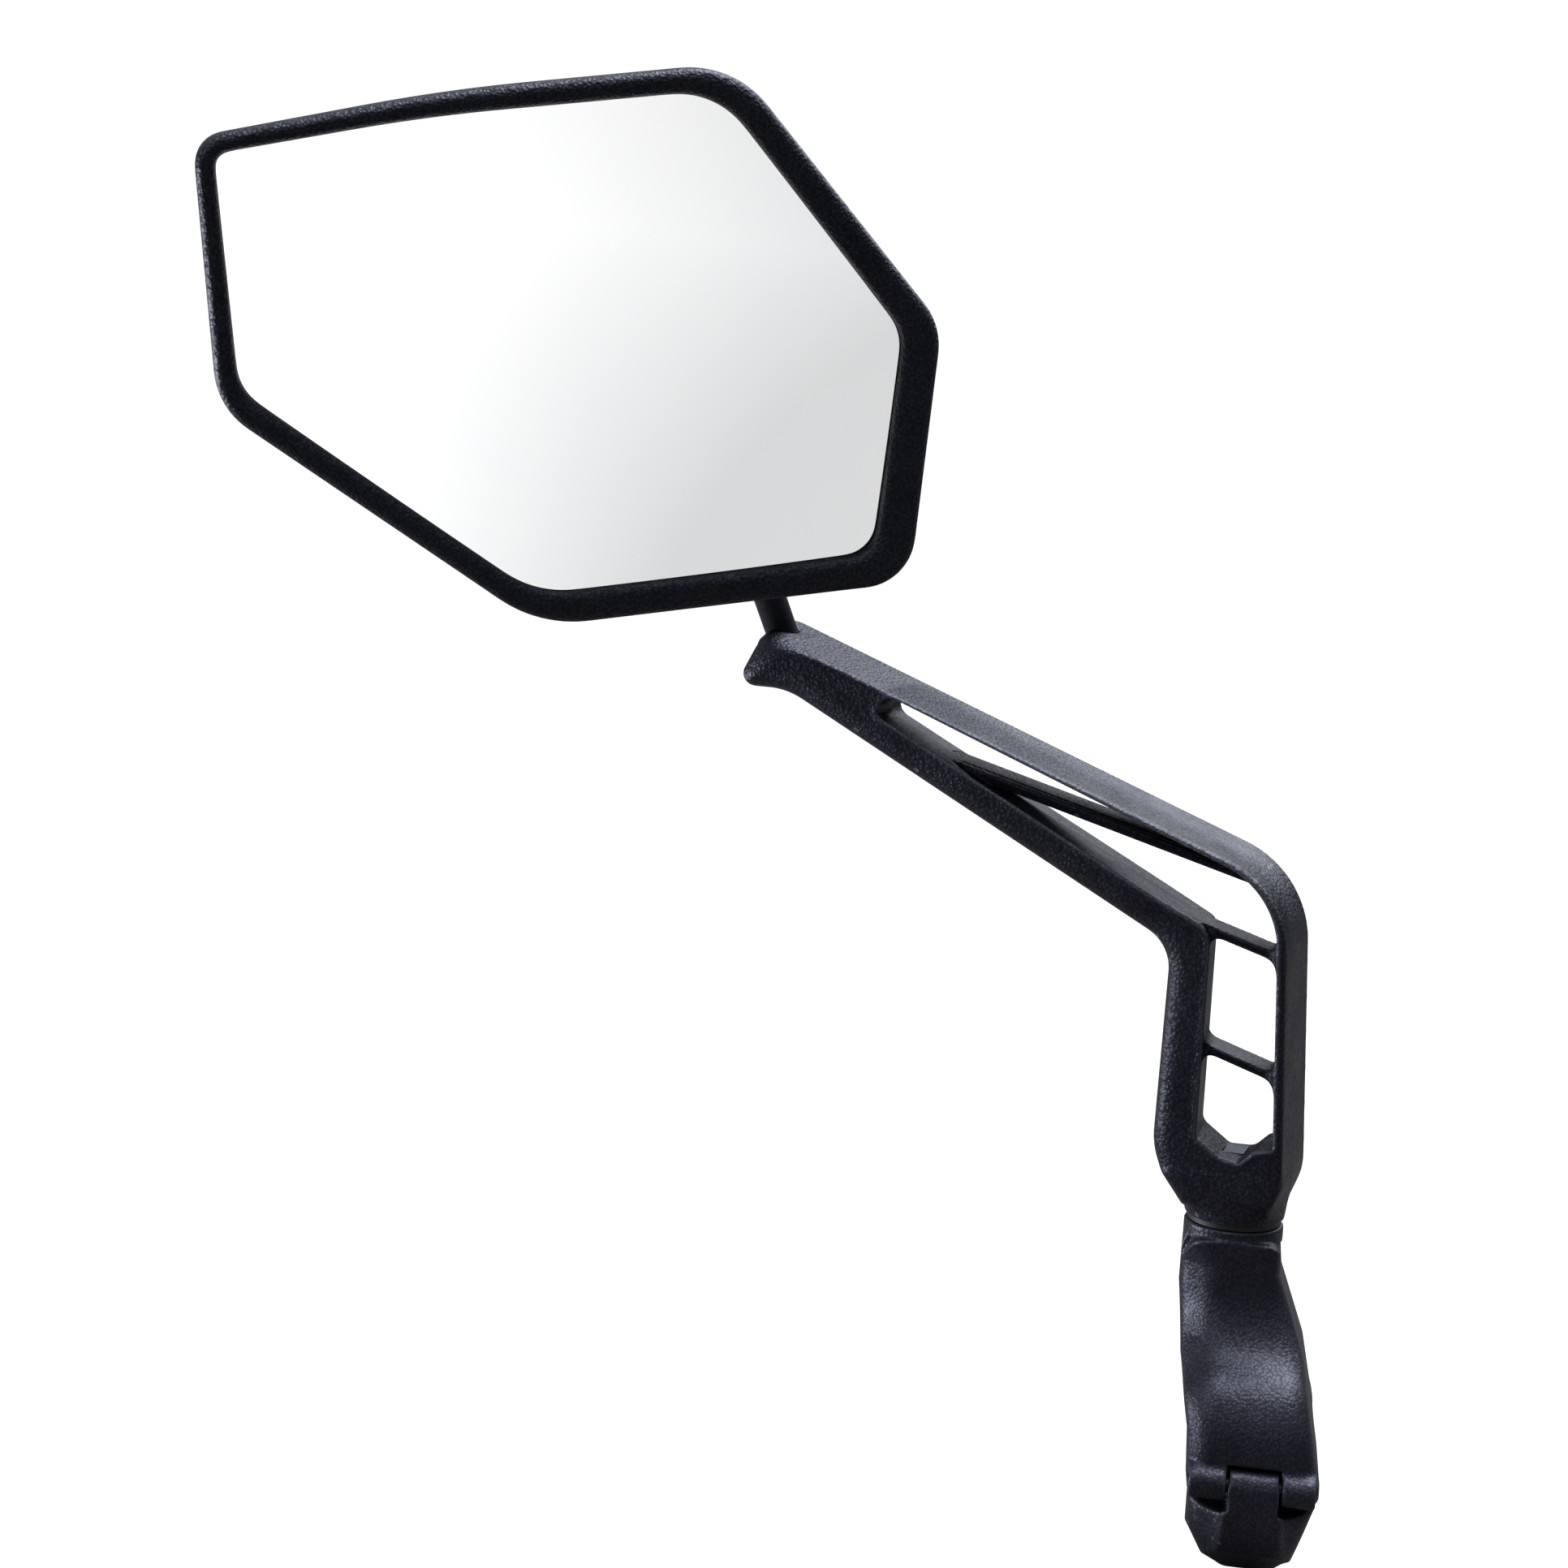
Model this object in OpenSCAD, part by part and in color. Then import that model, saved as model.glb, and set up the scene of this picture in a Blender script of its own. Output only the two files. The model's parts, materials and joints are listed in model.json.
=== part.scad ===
// Handlebar mirror: hinged bar clamp, swivelling truss arm, ball-jointed mirror head.
// Frame: origin on the handlebar axis at the middle of the clamp, +X along the bar,
// +Z up, -Y towards the rider. The part is drawn in the pose in which it is ridden.

/* [Handlebar clamp] */
// Handlebar diameter
bar_d = 22.2; // [22:0.1:22.4]
// Thickness of the rubber liner
liner_t = 1.5; // [1.4:0.1:1.6]
// Wall of the clamp ring outside the liner
ring_wall = 4.8; // [4.6:0.1:5.2]
// Width of the clamp ring along the bar
ring_w = 22; // [21.4:0.1:22.6]
// Radius of the hinge lugs and of the knuckle
lug_r = 2.8; // [2.6:0.1:3]
// Distance of the clamp screw behind the bar axis
clamp_screw_y = 21.7; // [21.5:0.1:22]

/* [Swivel] */
// Height of the swivel seam above the bar axis
seam_z = 42; // [41:0.5:44]
// Diameter of the round faces that meet at the swivel
collar_d = 17.3; // [16.7:0.1:17.5]
// Swivel axis to the left of the clamp's middle
swivel_left = 6.3; // [5.5:0.1:6.5]
// Swivel axis behind the bar axis
swivel_back = 8; // [7.5:0.1:8.5]

/* [Arm] */
// Depth of the arm from its front face to its back face
arm_t = 11.3; // [10.5:0.1:12]
// Angle that the arm is turned back about the swivel
arm_yaw = 9.2; // [0:0.1:40]
// Depth that the ribs lie behind the arm's front face
rib_recess = 1.4; // [0.5:0.1:2.5]
// Thickness of the two cross ribs
rib_t = 1.5; // [1.2:0.1:2]
// Thickness of the long diagonal rib
strut_t = 1.7; // [1.5:0.1:2.4]

/* [Ball joint] */
// Diameter of the ball
ball_d = 11; // [10.8:0.1:11.2]
// Diameter of the stem
stem_d = 5.8; // [5.4:0.1:6]
// Running clearance between parts that turn on each other
run_gap = 0.05; // [0.03:0.01:0.08]

/* [Mirror head] */
// Turn of the head about the vertical, from facing square to the bar
head_yaw = 23; // [18:0.5:28]
// Downward pitch of the mirror face
head_pitch = 10; // [6:0.5:14]
// Thickness of the mirror glass
glass_t = 2; // [1.8:0.1:2.2]
// Distance from the ball's centre to the front of the rim
rim_front = 12; // [11.8:0.1:12.4]

/* [Hidden] */
$fn = 64;
eps = 0.01;

// Clamp
bar_r = bar_d / 2;
bore_r = bar_r + liner_t;
ring_r = bore_r + ring_wall;
half_w = ring_w / 2;
hinge_y = -ring_r - 0.4;
hinge_z = 3;
pin_r = 1.25;
knuckle_half = 4.2;
lug_start = 4.45;
lug_clear = 0.6;
scoop_r = lug_r + 1.6;
link_back = 2.2;
front_part = 0.5;
rear_part = -1;
part_gap = 0.25;
liner_w = 20;
ear_half = 5.8;
ear_top = 7.2;
ear_bottom = -9;
nut_r = 4.62;
nut_t = 4;
clamp_shank_r = 2.1;
clamp_hole_r = 2.5;
screw_head_r = 4.25;
washer_t = 0.8;

// Swivel
collar_r = collar_d / 2;
collar_h = 1.9;
seam_gap = 0.8;
stalk_front = -1;
stalk_back = 17.2;
stalk_fillet = 14;
bulge_r = 14.1;
bulge_at = [-4.1, 7];
bulge_end = 20;
facet_z = 20;
pivot_r = 2;
pivot_hole_r = 2.1;
pivot_head_r = 3.5;
pivot_pocket_r = 3.9;
pivot_seat_z = 23;
spring_t = 1;
insert_w = 8;
insert_z = 2.6;
insert_h = 5.4;
insert_neck_w = 3.6;
insert_neck_front = -2;
trough_z = 11.7;
face_lean = 1.7;

// Ball joint, in the arm's own frame: x from the swivel axis, -y forwards, z above the seam
ball_r = ball_d / 2;
stem_r = stem_d / 2;
stem_root = [-89.8, 0, 97];
ball_at = [-94.5, -23.7, 128.5];
stem_vec = ball_at - stem_root;
stem_len = norm(stem_vec);
stem_in = 7.5;
neck_r = 2.2;
neck_len = 9.5;
socket_depth = 10;
socket_r = 4.8;
socket_top = 94;
stem_screw_r = 1.25;
stem_screw_pocket_r = 3.5;
seat_slot_x = 3;

// Mirror head, in its own frame: origin at the ball, +x right, +y up, +z out of the glass
slot_angle = 25.65;
cup_r = 9;
pocket_r = cup_r + run_gap;
tower_r = 14.5;
cup_split = 1.5;
cup_front_z = 5.2;
cup_back_z = -6.2;
sweep_top = 2.3;
shell_joint_z = rim_front - 7;
shell_back_z = 2;
skin_t = 1.6;
plate_back_z = 6.1;
lip_t = 1.8;
glass_front_z = rim_front - lip_t;
glass_back_z = glass_front_z - glass_t;
pad_back_z = plate_back_z + 1.5;
retainer_t = 1.8;
retainer_screw_ring = 11.8;
retainer_screw_angles = [150, 30, 90];

// Corners of the arm's lower and left edges as [x, z, corner radius]; the rest is cut back
ARM = [
    [-8.4, 2.6, 0], [12.5, 2.6, 0], [12.5, 71, 0], [-86.5, 104, 0],
    [-95.9, 86.4, 2.4], [-86, 86.3, 14], [-13.7, 47.9, 7.5], [-14.2, 10.9, 6]
];
// Corners of the arm's top and right faces at its back
ARM_OUTER = [[-110, -4, 0], [6.2, -4, 0], [10.5, 8.5, 6], [7.5, 61, 19], [-110, 105.9, 0]];
// Corners of the opening inside the arm, with the trough over the swivel at its foot
ARM_OPENING = [
    [-68.6, 87.3, 1.6], [-67.4, 82.2, 1.6], [-7.2, 51.5, 3.5], [-7.2, 15, 1.2],
    [-2.6, trough_z, 1], [1.2, trough_z, 1.5], [3.7, 14.2, 2], [6.9, 14.9, 0.5],
    [4.5, 59.3, 15.5]
];
// Corners of the rim and of the opening that shows the glass
RIM = [
    [33.1, -19.4, 8.7], [33.9, 24.8, 11], [-5.1, 64.4, 16], [-50.1, 56.8, 300],
    [-89.5, 46.5, 5.2], [-84.6, 4.8, 12], [-30.5, -29.5, 22]
];
SIGHT = [
    [26.9, -15, 5.5], [28, 23.2, 8], [-7.4, 60.3, 14], [-53.3, 52.7, 300],
    [-86.3, 44.5, 2.6], [-81.3, 7.5, 8], [-31.2, -24.2, 17]
];

// Outline helpers -----------------------------------------------------------

function unit(v) = v / norm(v);
function xy(c) = [c.x, c.y];
function prev(c, i) = xy(c[(i + len(c) - 1) % len(c)]);
function next(c, i) = xy(c[(i + 1) % len(c)]);
function left_of(d) = [-d.y, d.x];

// Points of the arc that rounds corner p between the directions to a and b
function corner_arc(p, a, b, r, steps) =
    let (da = unit(a - p), db = unit(b - p))
    let (half = acos(da * db) / 2)
    let (centre = p + unit(da + db) * r / sin(half))
    let (start = p + da * r / tan(half) - centre, stop = p + db * r / tan(half) - centre)
    let (from = atan2(start.y, start.x), turn = atan2(stop.y, stop.x) - from)
    let (sweep = turn > 180 ? turn - 360 : turn < -180 ? turn + 360 : turn)
    [for (k = [0:steps]) centre + r * [cos(from + sweep * k / steps), sin(from + sweep * k / steps)]];

// Outline whose corners are rounded by their own radii
function rounded(c, steps = 8) = [
    for (i = [0:len(c) - 1])
        each c[i].z > 0 ? corner_arc(xy(c[i]), prev(c, i), next(c, i), c[i].z, steps) : [xy(c[i])]
];

// The same corners with every edge moved inwards by d, for a counter-clockwise outline
function inset(c, d) = [
    for (i = [0:len(c) - 1])
        let (before = unit(xy(c[i]) - prev(c, i)), after = unit(next(c, i) - xy(c[i])))
        let (shift = (left_of(before) + left_of(after)) * d / (1 + before * after))
        let (bend = before.x * after.y - before.y * after.x)
        [c[i].x + shift.x, c[i].y + shift.y, c[i].z > 0 ? max(0.3, c[i].z - sign(bend) * d) : 0]
];

// Frames --------------------------------------------------------------------

module at_swivel() {
    translate([-swivel_left, swivel_back, 0]) children();
}

// Origin on the swivel axis at the height of the seam, +x along the arm's plane
module arm_frame() {
    at_swivel() translate([0, 0, seam_z]) rotate([0, 0, -arm_yaw]) children();
}

module head_frame() {
    arm_frame() translate(ball_at)
        rotate([90 + head_pitch, 0, head_yaw + arm_yaw]) children();
}

// +z runs along the stem towards the ball, from the middle of the arm
module stem_frame() {
    arm_frame() translate(stem_root)
        rotate([0, acos(stem_vec.z / stem_len), atan2(stem_vec.y, stem_vec.x)]) children();
}

// +x points along the slot through which the stem leaves the head
module slot_frame() {
    rotate([0, 0, slot_angle - 90]) children();
}

// Shared shapes -------------------------------------------------------------

module along_x(r, x0, x1) {
    translate([x0, 0, 0]) rotate([0, 90, 0]) cylinder(r = r, h = x1 - x0);
}

module upright(r, z0, z1) {
    translate([0, 0, z0]) cylinder(r = r, h = z1 - z0);
}

module block(low, high) {
    translate(low) cube(high - low);
}

module washer(outer_r, inner_r, z0, z1) {
    difference() {
        upright(outer_r, z0, z1);
        upright(inner_r, z0 - 1, z1 + 1);
    }
}

// Round bar screw with a socket head: head from z0 to z1, shank up to z2
module socket_screw(head_r, shank_r, z0, z1, z2, key_r, key_depth) {
    difference() {
        union() {
            upright(head_r, z0, z1);
            upright(shank_r, z1 - eps, z2);
        }
        translate([0, 0, z0 - eps]) cylinder(r = key_r, h = key_depth, $fn = 6);
    }
}

// Outline in x and z, given depth along y
module plate(points, y0, y1) {
    translate([0, y1, 0]) rotate([90, 0, 0]) linear_extrude(y1 - y0) polygon(points);
}

module slab(points, z0, z1) {
    translate([0, 0, z0]) linear_extrude(z1 - z0) polygon(points);
}

// Clamp ---------------------------------------------------------------------

// Everything above the parting faces, which lie lower behind the bar than in front
module above(gap) {
    far = 60;
    block([-far, -far, front_part + gap], [far, 0, far]);
    block([-far, -eps, rear_part + gap], [far, far, far]);
}

module below(gap) {
    far = 60;
    block([-far, -far, -far], [far, 0, front_part - gap]);
    block([-far, -eps, -far], [far, far, rear_part - gap]);
}

// Ring round the bar, with the outer edges bevelled by [along the bar, inwards]
module ring(inner_r, outer_r, width, bevel) {
    h = width / 2;
    rotate([0, 90, 0]) rotate_extrude() polygon([
        [inner_r, -h], [outer_r - bevel.y, -h], [outer_r, -h + bevel.x],
        [outer_r, h - bevel.x], [outer_r - bevel.y, h], [inner_r, h]
    ]);
}

// Outline of the upper clamp seen along the bar: the flat front face flows into a bulge over the ring
module stalk_side() {
    fy = stalk_front - stalk_fillet;
    over = sqrt(pow(bulge_r + stalk_fillet, 2) - pow(fy - bulge_at.x, 2));
    fz = bulge_at.y + over;
    end_angle = atan2(-over, bulge_at.x - fy);
    front = [for (k = [0:8]) let (a = end_angle * k / 8)
        [fy + stalk_fillet * cos(a), fz + stalk_fillet * sin(a)]];
    bulge = [for (k = [1:12]) let (a = 180 + end_angle + (-end_angle + bulge_end) * k / 12)
        bulge_at + bulge_r * [cos(a), sin(a)]];
    top = seam_z - seam_gap / 2 - collar_h;
    foot = [[-bore_r - 1, front_part + part_gap], [0, bore_r + 1]];
    points = concat(front, bulge, foot, [[stalk_back, ear_top - 2], [stalk_back, top], [stalk_front, top]]);
    translate([-20, 0, 0]) rotate([90, 0, 90]) linear_extrude(40) polygon(points);
}

// Outline of the upper clamp seen from the front: straight left side, flared right side
module stalk_front_view() {
    left = -swivel_left - collar_r;
    right = collar_r - swivel_left;
    points = [
        [-half_w, -20], [half_w, -20], [half_w, 1], [half_w - 1.2, 9], [half_w - 3.7, 20.5],
        [half_w - 6.5, 28], [right - 0.1, 34], [right, seam_z], [left, seam_z],
        [left - 0.1, 31], [left + 1.1, 19.6], [-half_w - 0.5, 10], [-half_w, 1]
    ];
    plate(points, -60, 60);
}

module at_hinge() {
    translate([0, hinge_y, hinge_z]) children();
}

module at_clamp_screw() {
    translate([0, clamp_screw_y, 0]) children();
}

module ear(z0, z1) {
    block([-ear_half, bore_r + 1, z0], [ear_half, clamp_screw_y, z1]);
    at_clamp_screw() upright(ear_half, z0, z1);
}

// Flat facet down the front left edge of the stalk, below the collar
module stalk_facet() {
    across = 4.2;
    back = 3.4;
    translate([-swivel_left - collar_r + across, stalk_front, facet_z])
        rotate([0, 0, -atan2(back, across)])
            translate([-30, -20, 0]) cube([60, 20, seam_z]);
}

module clamp_body() {
    collar_z = seam_z - seam_gap / 2 - collar_h;
    color([0.13, 0.13, 0.15]) difference() {
        union() {
            intersection() {
                union() {
                    intersection() {
                        ring(bore_r, ring_r, ring_w + 4, [1.8, 1.8]);
                        above(part_gap);
                    }
                    difference() {
                        stalk_side();
                        along_x(bore_r, -30, 30);
                        stalk_facet();
                    }
                }
                stalk_front_view();
            }
            at_swivel() upright(collar_r, collar_z - eps, seam_z - seam_gap / 2);
            ear(rear_part + part_gap, ear_top);
            at_hinge() along_x(lug_r, -half_w, -lug_start);
            at_hinge() along_x(lug_r, lug_start, half_w - 0.6);
        }
        along_x(bore_r, -30, 30);
        at_hinge() along_x(lug_r + lug_clear, -lug_start, lug_start);
        block([-lug_start, hinge_y - 10, -10], [lug_start, hinge_y + lug_r, hinge_z]);
        at_hinge() along_x(pin_r, -30, 30);
        at_swivel() upright(pivot_hole_r, pivot_seat_z - 1, seam_z + 1);
        at_swivel() upright(pivot_pocket_r, 0, pivot_seat_z);
        at_clamp_screw() upright(clamp_hole_r, -10, 20);
        at_clamp_screw() translate([0, 0, hinge_z - nut_t / 2]) cylinder(r = nut_r, h = 20, $fn = 6);
    }
}

module clamp_liner_upper() {
    color([0.08, 0.08, 0.08]) intersection() {
        ring(bar_r, bore_r, liner_w, [0, 0]);
        above(part_gap + 0.1);
        stalk_front_view();
    }
}

module hinge_pin() {
    color([0.7, 0.7, 0.72]) at_hinge() along_x(pin_r, -half_w + 1, half_w - 1);
}

module clamp_nut() {
    color([0.72, 0.72, 0.74]) at_clamp_screw() difference() {
        translate([0, 0, hinge_z - nut_t / 2]) cylinder(r = nut_r, h = nut_t, $fn = 6);
        upright(clamp_hole_r, -10, 20);
    }
}

module friction_washer() {
    color([0.05, 0.05, 0.05]) at_swivel()
        washer(collar_r - 0.5, pivot_hole_r, seam_z - seam_gap / 2, seam_z + seam_gap / 2);
}

module pivot_washer() {
    color([0.7, 0.7, 0.72]) at_swivel()
        washer(pivot_head_r + 0.2, pivot_hole_r, pivot_seat_z - washer_t, pivot_seat_z);
}

module pivot_spring() {
    top = pivot_seat_z - washer_t;
    color([0.6, 0.6, 0.62]) at_swivel() washer(pivot_head_r, pivot_hole_r, top - spring_t, top);
}

// Jaw -----------------------------------------------------------------------

// Outline of the jaw seen from the front: it narrows towards its foot
module jaw_front_view() {
    plate([[-half_w, 10], [-half_w, -6.2], [-5.9, -14.4], [-4.6, -ring_r], [4.6, -ring_r],
        [6, -12.2], [half_w - 0.6, -1], [half_w - 0.6, 10]], -60, 60);
}

module clamp_jaw() {
    color([0.12, 0.12, 0.14]) difference() {
        union() {
            intersection() {
                ring(bore_r, ring_r, ring_w, [3.4, 2.8]);
                below(part_gap);
                jaw_front_view();
            }
            at_hinge() along_x(lug_r, -knuckle_half, knuckle_half);
            intersection() {
                block([-knuckle_half, hinge_y - lug_r, -8], [knuckle_half, hinge_y + link_back, hinge_z]);
                translate([0, hinge_y + 8, hinge_z - 3]) along_x(8 + lug_r - 0.3, -30, 30);
            }
            ear(ear_bottom, rear_part - part_gap);
        }
        along_x(bore_r, -30, 30);
        for (side = [-1, 1])
            at_hinge() along_x(scoop_r, side > 0 ? knuckle_half : -30, side > 0 ? 30 : -knuckle_half);
        at_hinge() along_x(pin_r + run_gap, -30, 30);
        at_clamp_screw() upright(clamp_hole_r, -30, 20);
    }
}

module clamp_liner_lower() {
    color([0.08, 0.08, 0.08]) intersection() {
        ring(bar_r, bore_r, liner_w, [0, 0]);
        below(part_gap + 0.1);
        jaw_front_view();
    }
}

module clamp_washer() {
    color([0.7, 0.7, 0.72]) at_clamp_screw()
        washer(screw_head_r + 0.6, clamp_hole_r, ear_bottom - washer_t, ear_bottom);
}

module clamp_screw() {
    under_head = ear_bottom - washer_t;
    color([0.7, 0.7, 0.72]) at_clamp_screw()
        socket_screw(screw_head_r, clamp_shank_r, under_head - 4.5, under_head, hinge_z + 3.1, 2.3, 2.5);
}

// Arm -----------------------------------------------------------------------

// Straight rib between two points of the arm's plane
module rib(a, b, t, y0, y1) {
    side = left_of(unit(b - a)) * t / 2;
    plate([a - side, b - side, b + side, a + side], y0, y1);
}

// Truss plate: its top and right faces lean in towards the front of the arm
module truss() {
    half_t = arm_t / 2;
    difference() {
        intersection() {
            plate(rounded(ARM), -half_t, half_t);
            hull() {
                plate(rounded(inset(ARM_OUTER, face_lean)), -half_t - 1, -half_t - 0.9);
                plate(rounded(ARM_OUTER), half_t + 0.9, half_t + 1);
            }
        }
        plate(rounded(ARM_OPENING), -20, 20);
    }
    rib([-9, 52.1], [6.2, 47.5], rib_t, rib_recess - half_t, half_t);
    rib([-9, 31.8], [6.8, 26.8], rib_t, rib_recess - half_t, half_t);
    rib([-57, 76.2], [0, 61.3], strut_t, 2 * rib_recess - half_t, half_t);
}

module arm() {
    half_t = arm_t / 2;
    base_z = seam_gap / 2;
    foot_top = 8;
    color([0.13, 0.13, 0.15]) difference() {
        union() {
            arm_frame() truss();
            arm_frame() hull() {
                upright(collar_r, base_z, base_z + 1.6);
                block([-12.1, -half_t, foot_top - 0.2], [9.1, half_t, foot_top]);
            }
            intersection() {
                stem_frame() upright(socket_r, -socket_depth, 4);
                arm_frame() block([-110, -half_t + 1, 50], [0, 20, socket_top]);
            }
        }
        stem_frame() upright(stem_r + run_gap, -stem_in, 40);
        stem_frame() upright(stem_screw_r + 0.2, -40, 0);
        stem_frame() upright(stem_screw_pocket_r, -25, -socket_depth);
        arm_frame() upright(pivot_hole_r, -2, insert_z + eps);
        arm_frame() insert_shape(trough_z + 1);
    }
}

// Square threaded insert, with a narrow square neck that shows in the trough
module insert_shape(neck_top) {
    w = insert_w / 2;
    n = insert_neck_w / 2;
    block([-w, -w, insert_z], [w, w, insert_z + insert_h]);
    block([-n - 0.7, insert_neck_front, insert_z + insert_h - eps], [n - 0.7, w, neck_top]);
}

module pivot_insert() {
    color([0.2, 0.2, 0.22]) difference() {
        arm_frame() insert_shape(trough_z + 0.1);
        arm_frame() upright(pivot_r, -2, insert_z + insert_h - 0.6);
    }
}

module pivot_screw() {
    under_head = pivot_seat_z - washer_t - spring_t;
    tip = seam_z + insert_z + insert_h - 0.6;
    color([0.7, 0.7, 0.72]) at_swivel()
        socket_screw(pivot_head_r, pivot_r, under_head - 4, under_head, tip, 1.75, 2.2);
}

// Ball joint ----------------------------------------------------------------

module ball_stem() {
    color([0.15, 0.15, 0.16]) stem_frame() difference() {
        union() {
            upright(stem_r, -stem_in, stem_len - neck_len);
            translate([0, 0, stem_len - neck_len - eps])
                cylinder(r1 = stem_r, r2 = neck_r, h = 1.5);
            upright(neck_r, stem_len - neck_len, stem_len);
            translate([0, 0, stem_len]) sphere(r = ball_r);
        }
        upright(stem_screw_r, -stem_in - 1, -stem_in + 6);
    }
}

module stem_washer() {
    color([0.7, 0.7, 0.72]) stem_frame()
        washer(3.2, stem_screw_r, -socket_depth - 0.5, -socket_depth);
}

module stem_screw() {
    color([0.7, 0.7, 0.72]) stem_frame()
        socket_screw(2.6, stem_screw_r, -socket_depth - 2.1, -socket_depth - 0.5, -stem_in + 6, 1.3, 1);
}

// Front cup, pressed onto the ball by the wave spring
module seat_front() {
    color([0.85, 0.85, 0.8]) head_frame() difference() {
        upright(cup_r, cup_split, cup_front_z);
        sphere(r = ball_r + run_gap);
        upright(2.5, 0, 10);
    }
}

// Rear cup, open on the side where the stem leaves
module seat_rear() {
    color([0.85, 0.85, 0.8]) head_frame() difference() {
        upright(cup_r, cup_back_z, cup_split - 0.2);
        sphere(r = ball_r + run_gap);
        slot_frame() block([seat_slot_x, -stem_r - 0.2, -20], [20, stem_r + 0.2, 20]);
    }
}

module seat_spring() {
    color([0.6, 0.6, 0.62]) head_frame() washer(7.5, 4, cup_front_z, plate_back_z);
}

// Mirror head ---------------------------------------------------------------

// Wedge that the stem sweeps as the head rolls
module stem_sweep(z0, z1) {
    start = 3.5;
    stop = 20;
    near = stem_r + 0.9;
    far = near + (stop - start) * tan(12.5);
    slot_frame() slab([[start, -near], [stop, -far], [stop, far], [start, near]], z0, z1);
}

module retainer_screw_places() {
    for (a = retainer_screw_angles)
        rotate([0, 0, a]) translate([retainer_screw_ring, 0, 0]) children();
}

module rear_shell() {
    tray = inset(RIM, 0.5);
    foot = inset(RIM, 7);
    fit = inset(SIGHT, -1);
    color([0.13, 0.13, 0.15]) head_frame() difference() {
        union() {
            difference() {
                hull() {
                    slab(rounded(tray), shell_joint_z - 1.2, shell_joint_z);
                    slab(rounded(foot), shell_back_z, shell_back_z + 0.2);
                }
                hull() {
                    slab(rounded(inset(tray, skin_t + 3)), shell_joint_z - 0.4, shell_joint_z + 1);
                    slab(rounded(inset(foot, skin_t + 2)), shell_back_z + skin_t, shell_back_z + skin_t + 0.2);
                }
            }
            difference() {
                slab(rounded(fit), shell_joint_z - eps, plate_back_z);
                slab(rounded(inset(fit, skin_t)), 0, 20);
            }
            upright(tower_r, cup_back_z, plate_back_z);
        }
        upright(pocket_r, cup_back_z - 1, plate_back_z + 1);
        retainer_screw_places() upright(1, cup_back_z - 1, 1.5);
        stem_sweep(cup_back_z - 1, sweep_top);
    }
}

module ball_retainer() {
    color([0.14, 0.14, 0.16]) head_frame() difference() {
        upright(tower_r, cup_back_z - retainer_t, cup_back_z);
        stem_sweep(-20, 0);
        retainer_screw_places() upright(1.2, -20, 0);
    }
}

module retainer_screws() {
    under_head = cup_back_z - retainer_t;
    color([0.7, 0.7, 0.72]) head_frame() retainer_screw_places()
        socket_screw(2.1, 1, under_head - 1.6, under_head, 1.5, 1.1, 0.9);
}

module backing_plate() {
    color([0.16, 0.16, 0.16]) head_frame()
        slab(rounded(inset(SIGHT, -1)), plate_back_z, pad_back_z);
}

module glass_pad() {
    color([0.1, 0.1, 0.1]) head_frame() slab(rounded(inset(SIGHT, 1)), pad_back_z, glass_back_z);
}

module mirror_glass() {
    color([0.85, 0.88, 0.9]) head_frame()
        slab(rounded(inset(SIGHT, -1)), glass_back_z, glass_front_z);
}

module bezel() {
    crown = 0.9;
    color([0.12, 0.12, 0.14]) head_frame() difference() {
        union() {
            slab(rounded(RIM), shell_joint_z, rim_front - crown);
            slab(rounded(inset(RIM, crown)), rim_front - crown - eps, rim_front);
        }
        slab(rounded(SIGHT), 0, 20);
        slab(rounded(inset(SIGHT, -1.2)), 0, glass_front_z);
    }
}

clamp_body();
clamp_liner_upper();
hinge_pin();
clamp_nut();
friction_washer();
pivot_washer();
pivot_spring();
clamp_jaw();
clamp_liner_lower();
clamp_washer();
clamp_screw();
arm();
pivot_insert();
pivot_screw();
ball_stem();
stem_washer();
stem_screw();
seat_front();
seat_rear();
seat_spring();
rear_shell();
ball_retainer();
retainer_screws();
backing_plate();
glass_pad();
mirror_glass();
bezel();
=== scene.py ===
"""Handlebar mirror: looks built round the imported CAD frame, in metres."""

import json
import math

import bmesh
import bpy
import numpy as np
from mathutils import Matrix, Vector

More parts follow.
